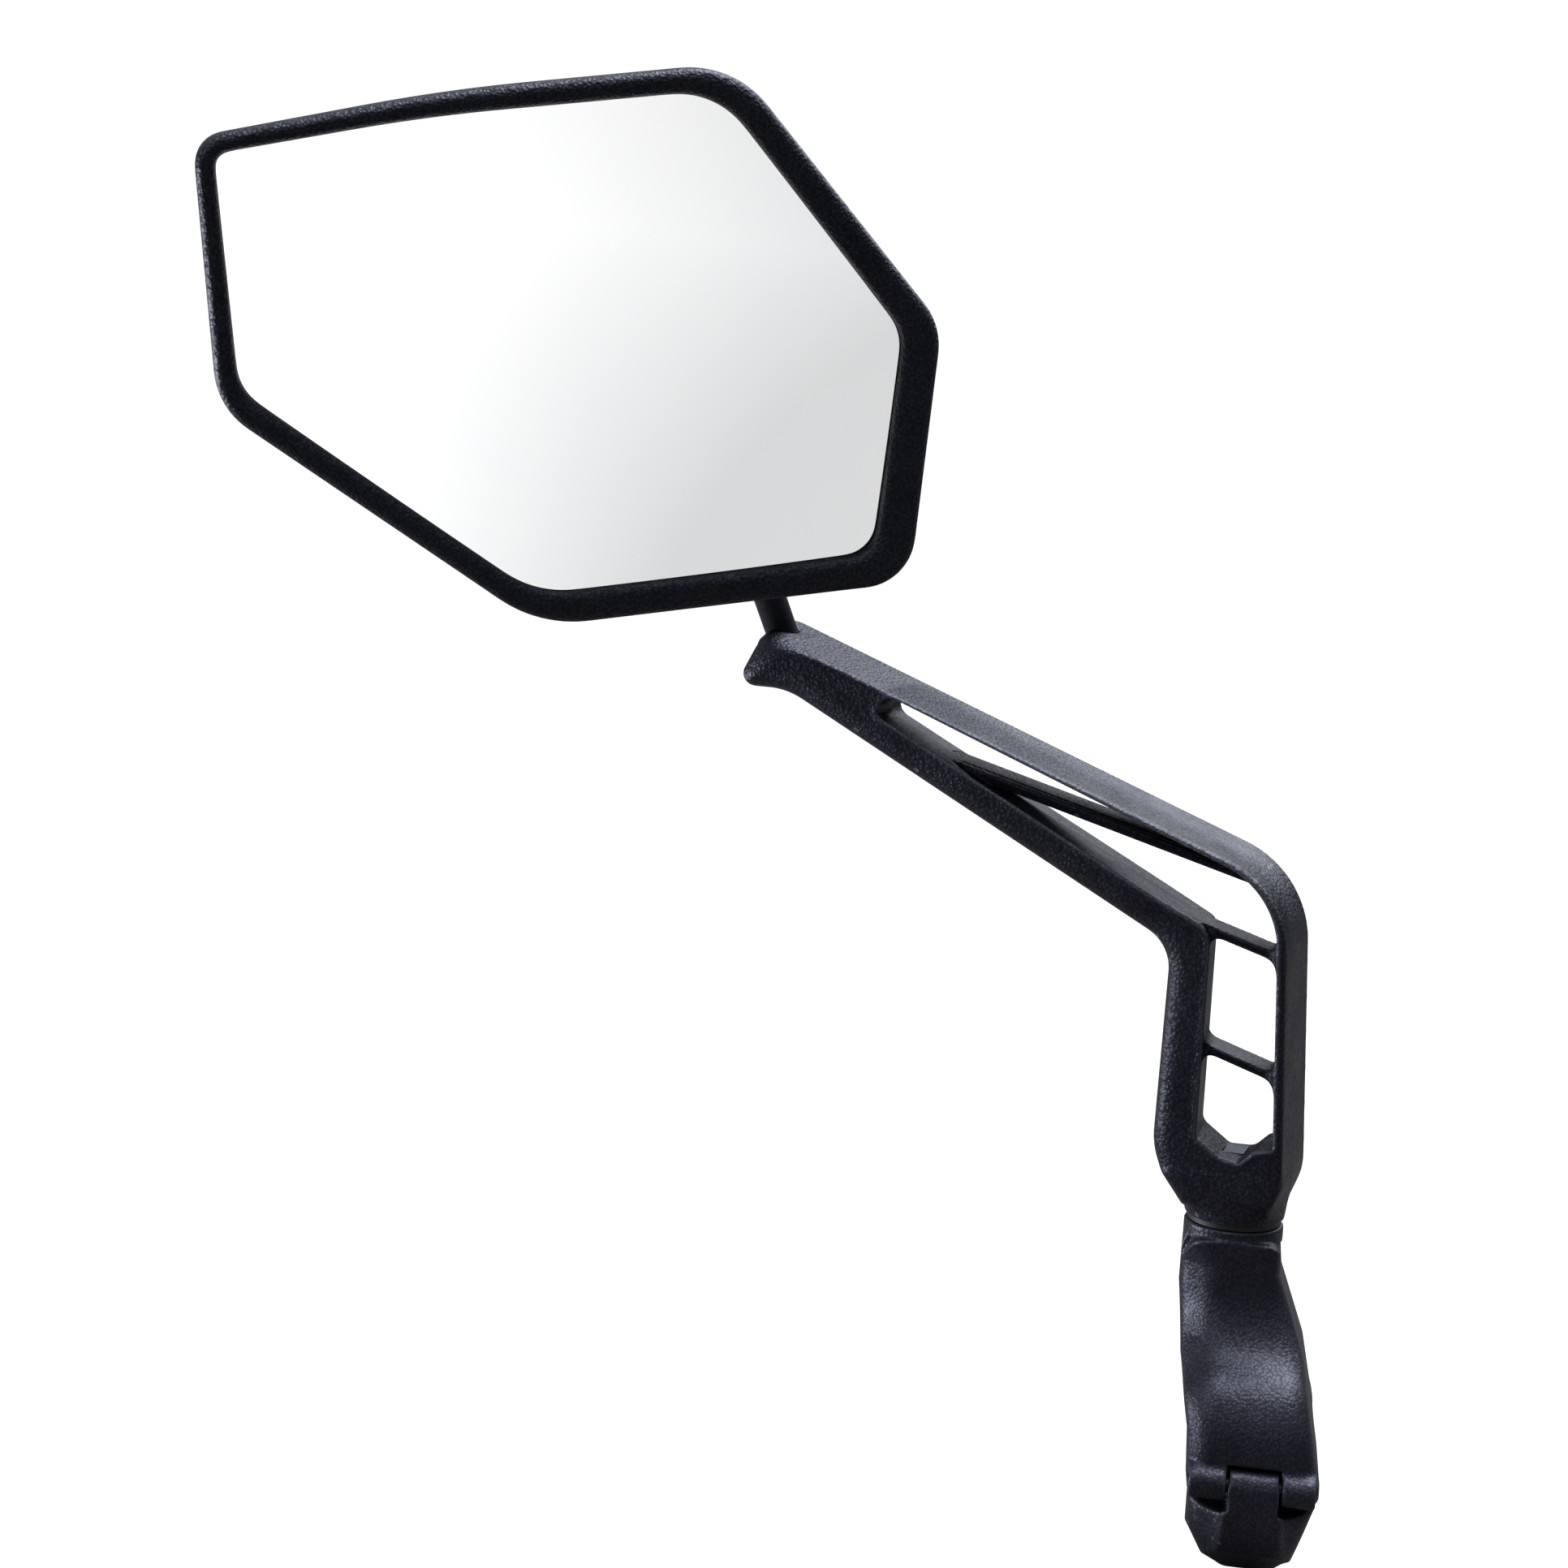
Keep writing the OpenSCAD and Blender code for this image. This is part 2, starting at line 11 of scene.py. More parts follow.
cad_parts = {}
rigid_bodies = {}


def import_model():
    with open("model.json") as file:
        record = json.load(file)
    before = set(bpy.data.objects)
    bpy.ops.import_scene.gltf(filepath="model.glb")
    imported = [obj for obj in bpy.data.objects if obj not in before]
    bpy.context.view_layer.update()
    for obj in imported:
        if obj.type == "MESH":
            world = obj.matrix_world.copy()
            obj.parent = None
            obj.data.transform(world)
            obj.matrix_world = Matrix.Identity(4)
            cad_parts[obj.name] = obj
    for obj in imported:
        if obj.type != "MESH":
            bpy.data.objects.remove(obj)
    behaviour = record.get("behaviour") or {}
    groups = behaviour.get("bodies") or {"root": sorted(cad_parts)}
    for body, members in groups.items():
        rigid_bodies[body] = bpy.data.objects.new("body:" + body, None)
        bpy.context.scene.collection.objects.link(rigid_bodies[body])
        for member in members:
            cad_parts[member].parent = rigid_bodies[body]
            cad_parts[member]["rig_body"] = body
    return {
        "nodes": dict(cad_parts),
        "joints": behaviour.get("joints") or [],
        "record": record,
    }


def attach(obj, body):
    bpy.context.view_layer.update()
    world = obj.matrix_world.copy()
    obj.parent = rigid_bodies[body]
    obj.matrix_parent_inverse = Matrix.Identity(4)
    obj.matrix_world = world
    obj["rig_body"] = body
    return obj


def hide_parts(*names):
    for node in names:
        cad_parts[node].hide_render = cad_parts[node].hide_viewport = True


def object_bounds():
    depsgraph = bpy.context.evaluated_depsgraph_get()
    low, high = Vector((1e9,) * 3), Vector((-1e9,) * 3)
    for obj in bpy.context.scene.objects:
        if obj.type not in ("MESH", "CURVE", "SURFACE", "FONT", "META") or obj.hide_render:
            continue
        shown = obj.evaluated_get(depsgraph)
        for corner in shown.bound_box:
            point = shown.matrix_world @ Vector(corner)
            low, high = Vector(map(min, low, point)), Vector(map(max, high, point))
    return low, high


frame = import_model()
CAD_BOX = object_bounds()
MM = 0.001
NODES = frame["nodes"]
JOINTS = {j["name"]: j for j in frame["joints"]}


# ---------------------------------------------------------------- frames

def basis(origin, x, y, z):
    """Matrix whose columns are the given axes, at the given origin."""
    m = Matrix.Identity(4)
    for k, axis in enumerate((x, y, z)):
        for r in range(3):
            m[r][k] = axis[r]
    m.translation = origin
    return m


def head_frame():
    """Origin at the ball, +z out of the glass, +x level."""
    roll = JOINTS["head_roll"]
    z = Vector(roll["axis"]).normalized()
    x = Vector((0, 0, 1)).cross(z).normalized()
    return basis(Vector(roll["pos_m"]), x, z.cross(x), z)


def arm_frame():
    """Origin on the swivel axis at the seam, +x along the arm's plane, -y forwards."""
    mesh = NODES["arm"].data
    sums = {}
    for poly in mesh.polygons:
        n = poly.normal
        if abs(n.z) < 0.01 and n.y < -0.5:
            key = round(math.degrees(math.atan2(n.x, -n.y)), 1)
            sums[key] = sums.get(key, 0.0) + poly.area
    angle = math.radians(max(sums, key=sums.get))
    front = Vector((math.sin(angle), -math.cos(angle), 0))
    up = Vector((0, 0, 1))
    return basis(Vector(JOINTS["arm_swivel"]["pos_m"]), (-front).cross(up), -front, up)


HEAD = head_frame()
ARM = arm_frame()


def coords(mesh, matrix=None):
    """Vertex places as an array, in the frame of the matrix."""
    co = np.empty(len(mesh.vertices) * 3)
    mesh.vertices.foreach_get("co", co)
    co = co.reshape(-1, 3)
    if matrix is not None:
        inv = np.array(matrix.inverted())
        co = co @ inv[:3, :3].T + inv[:3, 3]
    return co


def to_world(points, matrix):
    m = np.array(matrix)
    return np.asarray(points) @ m[:3, :3].T + m[:3, 3]


def add_object(name, verts, faces, smooth=True):
    mesh = bpy.data.meshes.new(name)
    mesh.from_pydata([tuple(v) for v in verts], [], faces)
    mesh.validate()
    mesh.update()
    obj = bpy.data.objects.new(name, mesh)
    bpy.context.scene.collection.objects.link(obj)
    if smooth:
        mesh.polygons.foreach_set("use_smooth", [True] * len(mesh.polygons))
    return obj


# ---------------------------------------------------------------- materials

def srgb(r, g, b):
    def lin(c):
        c /= 255
        return c / 12.92 if c <= 0.04045 else ((c + 0.055) / 1.055) ** 2.4
    return (lin(r), lin(g), lin(b), 1)


class Nodes:
    """Adds and links the nodes of a material or a world."""

    def __init__(self, owner, shader, coordinates):
        owner.use_nodes = True
        self.owner = owner
        self.tree = owner.node_tree
        self.shader = self.tree.nodes[shader]
        self.place = self.add("TexCoord").outputs[coordinates]

    def add(self, kind, **props):
        n = self.tree.nodes.new("ShaderNode" + kind)
        for k, v in props.items():
            setattr(n, k, v)
        return n

    def link(self, a, b):
        self.tree.links.new(a, b)

    def put(self, socket, value):
        if hasattr(value, "is_output"):
            self.link(value, socket)
        else:
            socket.default_value = value

    def noise(self, scale, detail=3, rough=0.6, vector=None):
        n = self.add("TexNoise")
        n.inputs["Scale"].default_value = scale
        n.inputs["Detail"].default_value = detail
        n.inputs["Roughness"].default_value = rough
        self.link(vector or self.place, n.inputs["Vector"])
        return n.outputs["Fac"]

    def voronoi(self, scale, feature="F1", smooth=0.0):
        n = self.add("TexVoronoi", feature=feature)
        n.inputs["Scale"].default_value = scale
        if feature == "SMOOTH_F1":
            n.inputs["Smoothness"].default_value = smooth
        self.link(self.place, n.inputs["Vector"])
        return n.outputs["Distance"]

    def remap(self, value, a, b, c, d, easing="LINEAR"):
        """Takes a..b to c..d, held at both ends."""
        n = self.add("MapRange", interpolation_type=easing)
        self.put(n.inputs["Value"], value)
        for key, v in zip(("From Min", "From Max", "To Min", "To Max"), (a, b, c, d)):
            self.put(n.inputs[key], v)
        return n.outputs["Result"]

    def math(self, op, a, b=0.0):
        n = self.add("Math", operation=op)
        self.put(n.inputs[0], a)
        self.put(n.inputs[1], b)
        return n.outputs[0]

    def mix(self, fac, a, b):
        n = self.add("Mix", data_type="RGBA")
        self.put(n.inputs[0], fac)
        self.put(n.inputs[6], a)
        self.put(n.inputs[7], b)
        return n.outputs[2]

    def bump(self, height, distance, strength=1.0, normal=None):
        n = self.add("Bump")
        n.inputs["Strength"].default_value = strength
        n.inputs["Distance"].default_value = distance
        self.link(height, n.inputs["Height"])
        if normal is not None:
            self.link(normal, n.inputs["Normal"])
        return n.outputs["Normal"]

    def finish(self, **inputs):
        for key, value in inputs.items():
            self.put(self.shader.inputs[key.replace("_", " ")], value)
        return self.owner


def material(name):
    return Nodes(bpy.data.materials.new(name), "Principled BSDF", "Object")


def plastic(name, dark, light, rough, spec, cell=0.45, depth=0.05, coarse=0.0, wear_and_sheen=0.5):
    """Grained moulded plastic.

    cell is the size of a grain, depth its relief and coarse the relief of a broader grain, all
    in mm. The last argument is how far the edges are made pale, partly as rubbed wear and partly
    as a painted highlight along them. Walls marked in the mesh get painted shade: darker and
    duller.
    """
    n = material(name)
    grain = n.voronoi(1 / (cell * MM), "SMOOTH_F1", 0.6)
    fine = n.noise(1 / (0.35 * cell * MM), 2)
    broad = n.noise(120, 3)
    cloud = n.noise(28, 2)
    height = n.math("ADD", n.math("MULTIPLY", grain, 1.1), n.math("MULTIPLY", fine, 0.4))
    height = n.math("MULTIPLY", height, n.remap(broad, 0.3, 0.7, 0.7, 1.15))
    normal = n.bump(height, depth * MM)
    if coarse:
        normal = n.bump(n.noise(1 / (2.2 * cell * MM), 2), coarse * MM, 1.0, normal)
    tone = n.remap(n.math("ADD", broad, cloud), 0.75, 1.3, 0, 1)
    speck = n.remap(n.noise(1 / (0.9 * cell * MM), 1), 0.58, 0.8, 0, 0.35)
    pale = tuple(min(1, 2.2 * c) for c in light[:3]) + (1,)
    colour = n.mix(speck, n.mix(tone, dark, light), pale)
    # pale edges: partly rubbed wear, partly a painted highlight along the rounded edges
    edge = n.remap(n.add("NewGeometry").outputs["Pointiness"], 0.52, 0.58, 0, wear_and_sheen)
    edge = n.math("MULTIPLY", edge, n.remap(fine, 0.35, 0.65, 0.5, 1))
    colour = n.mix(edge, colour, srgb(96, 98, 106))
    roughness = n.math("ADD", rough, n.remap(n.math("ADD", fine, broad), 0.7, 1.3, -0.07, 0.09))
    shine = n.math("MULTIPLY", spec, n.remap(grain, 0.1, 0.6, 1.5, 0.6))
    # painted shade: the marked walls are made darker and less shiny
    wall_shade = n.add("Attribute", attribute_name="painted_wall_shade").outputs["Fac"]
    shine = n.math("MULTIPLY", shine, n.remap(wall_shade, 0, 1, 1, 0.12))
    colour = n.mix(n.math("MULTIPLY", wall_shade, 0.7), colour, srgb(4, 4, 6))
    return n.finish(Base_Color=colour, Roughness=roughness, Specular_IOR_Level=shine,
                    Specular_Tint=(0.8, 0.8, 1, 1), Normal=normal)


def rubber(name):
    n = material(name)
    speckle = n.noise(2600, 2)
    colour = n.mix(n.remap(n.noise(160, 3), 0.35, 0.7, 0, 1), srgb(20, 20, 21), srgb(32, 32, 33))
    rough = n.remap(speckle, 0.3, 0.7, 0.72, 0.86)
    return n.finish(Base_Color=colour, Roughness=rough, Specular_IOR_Level=0.3,
                    Normal=n.bump(speckle, 0.03 * MM))


def steel(name, tint=(186, 187, 190), rough=0.3):
    n = material(name)
    stretch = n.add("Mapping")
    stretch.inputs["Scale"].default_value = (1, 1, 14)
    n.link(n.place, stretch.inputs["Vector"])
    brushed = n.noise(700, 3, 0.6, stretch.outputs["Vector"])
    stain = n.noise(260, 4)
    stained = srgb(*(int(0.82 * c) for c in tint))
    colour = n.mix(n.remap(stain, 0.4, 0.68, 0, 1), srgb(*tint), stained)
    uneven = n.remap(n.math("ADD", brushed, stain), 0.7, 1.3, -0.08, 0.14)
    roughness = n.math("ADD", rough, uneven)
    return n.finish(Base_Color=colour, Metallic=1.0, Roughness=roughness,
                    Normal=n.bump(brushed, 0.008 * MM))


def nylon(name, colour_a, colour_b):
    n = material(name)
    cloud = n.noise(240, 3)
    colour = n.mix(n.remap(cloud, 0.35, 0.7, 0, 1), colour_a, colour_b)
    rough = n.remap(n.noise(900, 2), 0.3, 0.7, 0.4, 0.55)
    return n.finish(Base_Color=colour, Roughness=rough,
                    Normal=n.bump(n.noise(1500, 2), 0.01 * MM))


def silvered_glass(name):
    """A perfectly sharp mirror, so that its rays see the floor as the camera does."""
    n = material(name)
    smear = n.noise(9, 4)
    tint = n.mix(n.remap(smear, 0.35, 0.7, 0, 1), srgb(253, 253, 253), srgb(248, 249, 250))
    return n.finish(Base_Color=tint, Metallic=1.0, Roughness=0.0,
                    Normal=n.bump(n.noise(22, 1), 0.004 * MM, 0.3))


def foam(name):
    n = material(name)
    cells = n.voronoi(1900)
    colour = n.mix(n.remap(cells, 0.1, 0.7, 0, 1), srgb(16, 16, 17), srgb(34, 34, 35))
    return n.finish(Base_Color=colour, Roughness=0.95, Normal=n.bump(cells, 0.1 * MM))


MAT = {
    "clamp_plastic": plastic("clamp_plastic", srgb(19, 19, 25), srgb(28, 28, 36),
                             rough=0.42, spec=0.42, cell=0.5, depth=0.075),
    "arm_plastic": plastic("arm_plastic", srgb(13, 13, 19), srgb(22, 23, 32),
                           rough=0.42, spec=0.4, cell=0.6, depth=0.13, coarse=0.04, wear_and_sheen=0.9),
    "head_plastic": plastic("head_plastic", srgb(14, 16, 21), srgb(24, 26, 32),
                            rough=0.44, spec=0.38, cell=0.55, depth=0.15, coarse=0.08, wear_and_sheen=0.2),
    "rubber": rubber("liner_rubber"),
    "steel": steel("zinc_steel"),
    "black_steel": plastic("stem_coating", srgb(7, 7, 10), srgb(12, 12, 15),
                           rough=0.5, spec=0.14, cell=0.4, depth=0.03, wear_and_sheen=0.2),
    "black_nylon": nylon("black_nylon", srgb(14, 14, 15), srgb(22, 22, 24)),
    "insert_metal": steel("insert_coating", (70, 72, 78), 0.45),
    "mirror": silvered_glass("silvered_glass"),
    "foam": foam("pad_foam"),
}
SLOT_OF = {s["node"]: s["material_slot"] for s in frame["record"]["subparts"]}


def dress(obj, slot):
    """Gives the object its slot's material."""
    obj.data.materials.clear()
    obj.data.materials.append(MAT[slot])


def piece(obj, node, *more):
    """The object stands for these CAD nodes: it rides on their body and has their finish."""
    dress(obj, SLOT_OF[node])
    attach(obj, NODES[node]["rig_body"])
    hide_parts(node, *more)
    return obj


def mark_painted_shade(obj, amounts):
    """Marks the inner walls, 0..1 a vertex, where the plastic paints shade: darker and duller."""
    mark = obj.data.attributes.new("painted_wall_shade", "FLOAT", "POINT")
    mark.data.foreach_set("value", np.asarray(amounts, float))


# ---------------------------------------------------------------- mesh tools

def remesh(node, name, voxel):
    """Evenly meshed copy of a CAD node, voxel in mm."""
    mesh = NODES[node].data.copy()
    bm = bmesh.new()
    bm.from_mesh(mesh)
    bmesh.ops.remove_doubles(bm, verts=bm.verts, dist=1e-6)
    bm.to_mesh(mesh)
    bm.free()
    source = bpy.data.objects.new(name + "_source", mesh)
    bpy.context.scene.collection.objects.link(source)
    mod = source.modifiers.new("even", "REMESH")
    mod.mode = "VOXEL"
    mod.voxel_size = voxel * MM * 1
    graph = bpy.context.evaluated_depsgraph_get()
    even = bpy.data.meshes.new_from_object(source.evaluated_get(graph))
    even.name = name
    bpy.data.objects.remove(source)
    bpy.data.meshes.remove(mesh)
    obj = bpy.data.objects.new(name, even)
    bpy.context.scene.collection.objects.link(obj)
    even.polygons.foreach_set("use_smooth", [True] * len(even.polygons))
    return obj


def relax(obj, rounds):
    """Rounds the edges of an even mesh without shrinking it."""
    mesh = obj.data
    co = coords(mesh)
    edges = np.empty(len(mesh.edges) * 2, np.int64)
    mesh.edges.foreach_get("vertices", edges)
    a, b = edges.reshape(-1, 2).T
    count = np.bincount(a, minlength=len(co)) + np.bincount(b, minlength=len(co))
    for _ in range(rounds):
        for step in (0.55, -0.57):
            mean = np.stack([
                np.bincount(a, co[b, k], len(co)) + np.bincount(b, co[a, k], len(co))
                for k in range(3)], 1) / count[:, None]
            co = co + step * (mean - co)
    mesh.vertices.foreach_set("co", co.ravel())
    mesh.update()


def resample(loop, count):
    """Closed 2D loop as count points evenly spaced along it."""
    closed = np.vstack([loop, loop[:1]])
    run = np.concatenate([[0], np.cumsum(np.linalg.norm(np.diff(closed, axis=0), axis=1))])
    at = np.linspace(0, run[-1], count, endpoint=False)
    return np.stack([np.interp(at, run, closed[:, k]) for k in range(2)], 1)


def blur(loop, sigma):
    """Circular smoothing of the points of a closed loop, sigma in samples."""
    reach = int(4 * sigma) + 1
    kernel = np.exp(-0.5 * (np.arange(-reach, reach + 1) / sigma) ** 2)
    kernel /= kernel.sum()
    padded = np.vstack([loop[-reach:], loop, loop[:reach]])
    return np.stack([np.convolve(padded[:, k], kernel, "valid") for k in range(2)], 1)


def around(points):
    """Points sorted by their direction from their middle."""
    c = points.mean(0)
    return points[np.argsort(np.arctan2(points[:, 1] - c[1], points[:, 0] - c[0]))]


def hull(points):
    """Convex outline of 2D points, counter-clockwise."""
    pts = sorted(set(map(tuple, np.round(points, 7))))

    def turn(a, b, c):
        return (b[0] - a[0]) * (c[1] - a[1]) - (b[1] - a[1]) * (c[0] - a[0])

    def half(seq):
        out = []
        for p in seq:
            while len(out) > 1 and turn(out[-2], out[-1], p) <= 1e-14:
                out.pop()
            out.append(p)
        return out[:-1]

    return np.array(half(pts) + half(pts[::-1]))


def ring_faces(rows, cols, closed_rows=False):
    """Quads of a grid of rows x cols whose columns close on themselves."""
    faces = []
    for r in range(rows if closed_rows else rows - 1):
        s = (r + 1) % rows
        for c in range(cols):
            d = (c + 1) % cols
            faces.append((r * cols + c, r * cols + d, s * cols + d, s * cols + c))
    return faces


# ---------------------------------------------------------------- solid fields

def smax(a, b, r):
    """Larger of two fields, with the edge between them rounded over about r."""
    h = np.maximum(r - np.abs(a - b), 0) / r
    return np.maximum(a, b) + h * h * r * 0.25


def smin(a, b, r):
    return -smax(-a, -b, r)


def unit(v):
    return v / np.linalg.norm(v)


def rounded(corners, steps=20):
    """Outline whose corners [x, y, radius] are rounded."""
    out = []
    pts = [np.array(c[:2], float) for c in corners]
    for k, p in enumerate(pts):
        r = corners[k][2]
        if not r:
            out.append(p)
            continue
        da, db = unit(pts[k - 1] - p), unit(pts[(k + 1) % len(pts)] - p)
        half = math.acos(max(-1, min(1, da @ db))) / 2
        centre = p + unit(da + db) * r / math.sin(half)
        start = p + da * r / math.tan(half) - centre
        stop = p + db * r / math.tan(half) - centre
        first = math.atan2(start[1], start[0])
        sweep = (math.atan2(stop[1], stop[0]) - first + math.pi) % (2 * math.pi) - math.pi
        for s in range(steps + 1):
            t = first + sweep * s / steps
            out.append(centre + r * np.array([math.cos(t), math.sin(t)]))
    return np.array(out)


def outline_field(u, v, points):
    """Signed distance to a closed outline, negative inside, over the plane of u and v."""
    best = np.full(np.broadcast(u, v).shape, 1e9, np.float32)
    inside = np.zeros(best.shape, bool)
    for a, b in zip(points, np.roll(points, -1, axis=0)):
        e = b - a
        t = np.clip(((u - a[0]) * e[0] + (v - a[1]) * e[1]) / (e @ e), 0, 1)
        best = np.minimum(best, (u - a[0] - t * e[0]) ** 2 + (v - a[1] - t * e[1]) ** 2)
        if a[1] != b[1]:
            cross = a[0] + (v - a[1]) * e[0] / e[1]
            inside ^= ((a[1] > v) != (b[1] > v)) & (u < cross)
    best = np.sqrt(best)
    return np.where(inside, -best, best)


def line_field(u, v, a, b):
    """Distance to the right of the line that runs from a to b."""
    d = unit(np.subtract(b, a))
    return (u - a[0]) * d[1] - (v - a[1]) * d[0]


def strip(u, v, a, b, width):
    """Straight strip with square ends."""
    d = unit(np.subtract(b, a))
    along = (u - a[0]) * d[0] + (v - a[1]) * d[1]
    across = (u - a[0]) * d[1] - (v - a[1]) * d[0]
    length = np.linalg.norm(np.subtract(b, a))
    return np.maximum(np.abs(across) - width / 2, np.abs(along - length / 2) - length / 2)


def rod(x, y, z, origin, axis, r, start, stop):
    """Round bar along an axis, from start to stop measured from the origin."""
    ax = np.array(axis) / np.linalg.norm(axis)
    px, py, pz = x - origin[0], y - origin[1], z - origin[2]
    along = px * ax[0] + py * ax[1] + pz * ax[2]
    radius = np.sqrt(np.maximum(px * px + py * py + pz * pz - along * along, 0))
    return np.maximum(radius - r, np.maximum(start - along, along - stop))


def brick(x, y, z, low, high):
    """Box between two corners."""
    sides = [np.maximum(a - u, u - b) for u, a, b in zip((x, y, z), low, high)]
    return np.maximum(np.maximum(sides[0], sides[1]), sides[2])


def drill(solid, *holes):
    """The solid with sharp-edged holes in it."""
    for hole in holes:
        solid = np.maximum(solid, -hole)
    return solid


def field_grid(low, high, step):
    """Places of a grid along x, y and z, shaped so that they combine to the whole grid."""
    axes = [np.arange(a, b + step, step, dtype=np.float32) for a, b in zip(low, high)]
    return axes[0][:, None, None], axes[1][None, :, None], axes[2][None, None, :]


def skin(name, field, low, step, matrix):
    """Mesh of the surface where the field is zero, field in mm over a grid."""
    inside = field < 0
    count = sum(inside[i:inside.shape[0] - 1 + i, j:inside.shape[1] - 1 + j,
                       k:inside.shape[2] - 1 + k].astype(np.int8)
                for i in (0, 1) for j in (0, 1) for k in (0, 1))
    mixed = (count > 0) & (count < 8)
    cells = np.argwhere(mixed)
    index = np.full(mixed.shape, -1, np.int64)
    index[mixed] = np.arange(len(cells))
    total, hits = np.zeros((len(cells), 3)), np.zeros(len(cells))
    for axis in range(3):
        for p in (0, 1):
            for q in (0, 1):
                a = np.zeros(3, int)
                a[(axis + 1) % 3], a[(axis + 2) % 3] = p, q
                b = a.copy()
                b[axis] = 1
                fa, fb = field[tuple((cells + a).T)], field[tuple((cells + b).T)]
                cross = (fa < 0) != (fb < 0)
                t = np.where(cross, fa / np.where(cross, fa - fb, 1), 0)
                total += cross[:, None] * (a + t[:, None] * (b - a))
                hits += cross
    verts = np.array(low) + step * (cells + total / hits[:, None])
    faces = []
    for axis in range(3):
        u, v = np.eye(3, dtype=int)[(axis + 1) % 3], np.eye(3, dtype=int)[(axis + 2) % 3]
        ahead = np.take(inside, range(1, inside.shape[axis]), axis)
        here = np.take(inside, range(inside.shape[axis] - 1), axis)
        e = np.argwhere(ahead != here)
        limit = np.array(mixed.shape)
        keep = ((e - u - v) >= 0).all(1) & (e < limit).all(1)
        e = e[keep]
        quad = np.stack([index[tuple((e - d).T)] for d in (0 * u, u, u + v, v)], 1)
        flip = ~here[tuple(e.T)]
        quad[flip] = quad[flip][:, ::-1]
        faces += quad.tolist()
    return add_object(name, to_world(verts * MM, matrix), faces)


# ---------------------------------------------------------------- mirror head

def level_points(node, z):
    """2D points of the CAD node that lie at this height in the head's frame."""
    co = coords(NODES[node].data, HEAD)
    return co[np.abs(co[:, 2] - z) < 2e-5][:, :2]


bezel_co = coords(NODES["bezel"].data, HEAD)
glass_co = coords(NODES["mirror_glass"].data, HEAD)
RIM_FRONT, RIM_BACK = bezel_co[:, 2].max(), bezel_co[:, 2].min()
GLASS_FRONT, GLASS_BACK = glass_co[:, 2].max(), glass_co[:, 2].min()


def rim_loops(count):
    """Outer edge of the rim and the point of the sight opening nearest to each outer point."""
    outer = hull(level_points("bezel", RIM_BACK))
    front = level_points("bezel", RIM_FRONT)
    edge = set(map(tuple, np.round(hull(front), 7)))
    inner = around(np.array([p for p in front if tuple(np.round(p, 7)) not in edge]))
    outer = blur(resample(outer, count), count * 0.0012)
    dense = blur(resample(inner, 6000), 8)
    nearest = np.array([dense[np.argmin(((dense - p) ** 2).sum(1))] for p in outer])
    return outer, blur(nearest, count * 0.003)


LENS_RADIUS = 1.1            # of the convex glass, in metres
LENS_SINK = 0.02 * MM        # how far the glass lies behind the lip
RIM_COLUMNS, LENS_COLUMNS = 900, 480
RIM_SHOULDER = 2.1 * MM      # depth of the rim's rounded front
RIM_SQUARENESS = 0.86        # 1 is a half round, less is squarer
RIM_FLANGE = 1.2 * MM        # how far the rim reaches out behind the glass
# The rim's side down to its back edge: height and inset in mm, and the share of the bead left
RIM_SIDE = [(3.4, 0, 0.9), (1.6, 0, 0.4), (0.35, 0, 0), (0.12, 0.12, 0), (0, 0.35, 0)]


def lens_height(points, centre, low):
    """Height of the convex glass over 2D points, touching the lip where it is nearest."""
    r2 = ((points - centre) ** 2).sum(-1)
    return GLASS_FRONT - (r2 - low) / (2 * LENS_RADIUS)


def level(points, z):
    """2D points as 3D points at one height."""
    return np.column_stack([points, np.full(len(points), z)])


def build_rim(outer, inner, centre, low):
    gap = outer - inner
    out = gap / np.linalg.norm(gap, axis=1)[:, None]
    bead = out * (0.28 + 0.22 * out[:, :1]) * MM

    rows = []
    shoulder = RIM_FRONT - RIM_SHOULDER
    for t in np.linspace(0, 1, 5):
        z = lens_height(inner, centre, low) * (1 - t) + shoulder * t
        rows.append(np.column_stack([inner, z]))
    painted_shade_rows = len(rows) + 1
    for t in np.linspace(0, math.pi, 26)[1:]:
        across = 0.5 - 0.5 * math.copysign(abs(math.cos(t)) ** RIM_SQUARENESS, math.cos(t))
        rise = math.sin(t) ** RIM_SQUARENESS if t < math.pi else 0
        swollen = inner + gap * across + bead * across ** 2
        rows.append(level(swollen, shoulder + RIM_SHOULDER * rise))
    for z, inset, full in RIM_SIDE:
        rows.append(level(outer - out * inset * MM + bead * full, RIM_BACK + z * MM))
    flange = inner + out * RIM_FLANGE
    rows.append(level(flange, RIM_BACK))
    rows.append(np.column_stack([flange, lens_height(flange, centre, low)]))

    verts = to_world(np.vstack(rows), HEAD)
    rim = add_object("rim_bead", verts, ring_faces(len(rows), RIM_COLUMNS, True))
    # painted shade on the rim's inner wall down to the glass: darker and duller
    mark_painted_shade(rim, np.arange(len(verts)) < painted_shade_rows * RIM_COLUMNS)
    piece(rim, "bezel")


